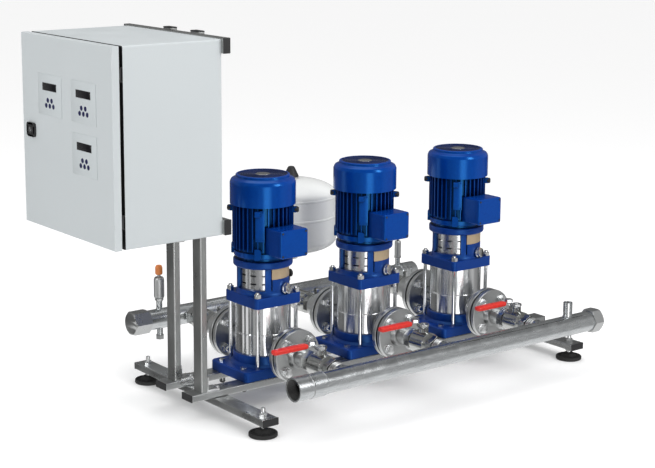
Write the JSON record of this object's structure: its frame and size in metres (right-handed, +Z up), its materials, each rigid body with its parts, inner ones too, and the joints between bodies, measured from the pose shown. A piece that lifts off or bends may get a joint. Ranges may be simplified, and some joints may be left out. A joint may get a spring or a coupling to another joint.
{
  "type": "fire pump booster set",
  "caption": "Fire-water booster set: upright multistage pumps in a row on a steel tube frame between two pipe manifolds, with a diaphragm tank and a control cabinet on posts.",
  "frame": {"origin": "on the floor, in the middle of the levelling foot that is on the suction side at the cabinet end", "axes": "+X along the row of pumps away from the cabinet, +Y from the suction side to the delivery side, +Z up"},
  "size_m": [1.6565, 0.968, 1.056],
  "materials": {
    "steel_tube": "bare satin steel tube",
    "black_plastic": "matt black moulded plastic",
    "black_rubber": "matt black rubber",
    "zinc_steel": "zinc plated steel",
    "grey_paint": "light grey textured powder coat",
    "keypad_foil": "printed satin foil",
    "dark_plastic": "dark moulded plastic",
    "light_plastic": "light grey moulded plastic",
    "stainless": "polished stainless steel",
    "blue_paint": "deep blue gloss enamel",
    "flange_steel": "zinc plated steel",
    "nickel_brass": "nickel plated brass",
    "white_paint": "off-white gloss enamel",
    "shaft_steel": "turned steel",
    "lever_red": "dipped red plastic sleeve on a steel lever"
  },
  "bodies": {
    "set": {"cabinet_posts": "steel_tube", "cabinet_shell": "grey_paint", "cabinet_struts": "steel_tube", "cable_glands": "light_plastic", "check_valves_and_nipples": "nickel_brass", "coupling_guards": "stainless", "cross_tubes": "steel_tube", "delivery_manifold": "stainless", "drive_units": "dark_plastic", "end_caps": "black_plastic", "fan_cowl_1": "blue_paint", "fan_cowl_2": "blue_paint", "fan_cowl_3": "blue_paint", "filling_plugs": "stainless", "flange_bolts": "zinc_steel", "flange_gaskets": "black_rubber", "foot_pads": "black_rubber", "foot_studs": "zinc_steel", "frame_bolts": "zinc_steel", "frame_rails": "steel_tube", "motor_body_1": "blue_paint", "motor_body_2": "blue_paint", "motor_body_3": "blue_paint", "motor_bracket_1": "blue_paint", "motor_bracket_2": "blue_paint", "motor_bracket_3": "blue_paint", "mounting_plate": "zinc_steel", "pipe_caps": "stainless", "pipe_flanges": "flange_steel", "pump_barrel_1": "stainless", "pump_barrel_2": "stainless", "pump_barrel_3": "stainless", "pump_base_1": "blue_paint", "pump_base_2": "blue_paint", "pump_base_3": "blue_paint", "suction_manifold": "stainless", "tank": "white_paint", "tank_valve": "nickel_brass", "terminal_boxes": "blue_paint", "terminal_rail": "light_plastic", "tie_rods": "stainless", "transmitters": "stainless", "valve_bodies": "nickel_brass"},
    "door": {"cabinet_door": "grey_paint", "door_seal": "black_rubber", "keypads": "keypad_foil", "lock_housing": "black_plastic"},
    "lock": {"lock_cam": "zinc_steel"},
    "rotor_1": {"shaft_line_1": "shaft_steel", "motor_fan_1": "dark_plastic"},
    "suction_valve_1": {"suction_lever_1": "lever_red"},
    "delivery_valve_1": {"delivery_handle_1": "zinc_steel"},
    "rotor_2": {"shaft_line_2": "shaft_steel", "motor_fan_2": "dark_plastic"},
    "suction_valve_2": {"suction_lever_2": "lever_red"},
    "delivery_valve_2": {"delivery_handle_2": "zinc_steel"},
    "rotor_3": {"shaft_line_3": "shaft_steel", "motor_fan_3": "dark_plastic"},
    "suction_valve_3": {"suction_lever_3": "lever_red"},
    "delivery_valve_3": {"delivery_handle_3": "zinc_steel"}
  },
  "joints": [
    {"name": "door_hinge", "type": "hinge", "parent": "set", "child": "door", "pos_m": [-0.374, 0.068, 0.794], "axis": [0, 0, 1], "range_deg": [0, 110]},
    {"name": "lock_turn", "type": "hinge", "parent": "door", "child": "lock", "pos_m": [-0.395, 0.481, 0.794], "axis": [1, 0, 0], "range_deg": [0, 90]},
    {"name": "rotor_spin_1", "type": "hinge", "parent": "set", "child": "rotor_1", "pos_m": [0.206, 0.287, 0.35], "axis": [0, 0, 1], "continuous": true},
    {"name": "suction_valve_turn_1", "type": "hinge", "parent": "set", "child": "suction_valve_1", "pos_m": [0.206, 0.015, 0.15], "axis": [0, 0, 1], "range_deg": [0, 90]},
    {"name": "delivery_valve_turn_1", "type": "hinge", "parent": "set", "child": "delivery_valve_1", "pos_m": [0.206, 0.585, 0.15], "axis": [1, 0, 0], "range_deg": [0, 90]},
    {"name": "rotor_spin_2", "type": "hinge", "parent": "set", "child": "rotor_2", "pos_m": [0.573, 0.287, 0.35], "axis": [0, 0, 1], "continuous": true},
    {"name": "suction_valve_turn_2", "type": "hinge", "parent": "set", "child": "suction_valve_2", "pos_m": [0.573, 0.015, 0.15], "axis": [0, 0, 1], "range_deg": [0, 90]},
    {"name": "delivery_valve_turn_2", "type": "hinge", "parent": "set", "child": "delivery_valve_2", "pos_m": [0.573, 0.585, 0.15], "axis": [1, 0, 0], "range_deg": [0, 90]},
    {"name": "rotor_spin_3", "type": "hinge", "parent": "set", "child": "rotor_3", "pos_m": [0.94, 0.287, 0.35], "axis": [0, 0, 1], "continuous": true},
    {"name": "suction_valve_turn_3", "type": "hinge", "parent": "set", "child": "suction_valve_3", "pos_m": [0.94, 0.015, 0.15], "axis": [0, 0, 1], "range_deg": [0, 90]},
    {"name": "delivery_valve_turn_3", "type": "hinge", "parent": "set", "child": "delivery_valve_3", "pos_m": [0.94, 0.585, 0.15], "axis": [1, 0, 0], "range_deg": [0, 90]}
  ]
}
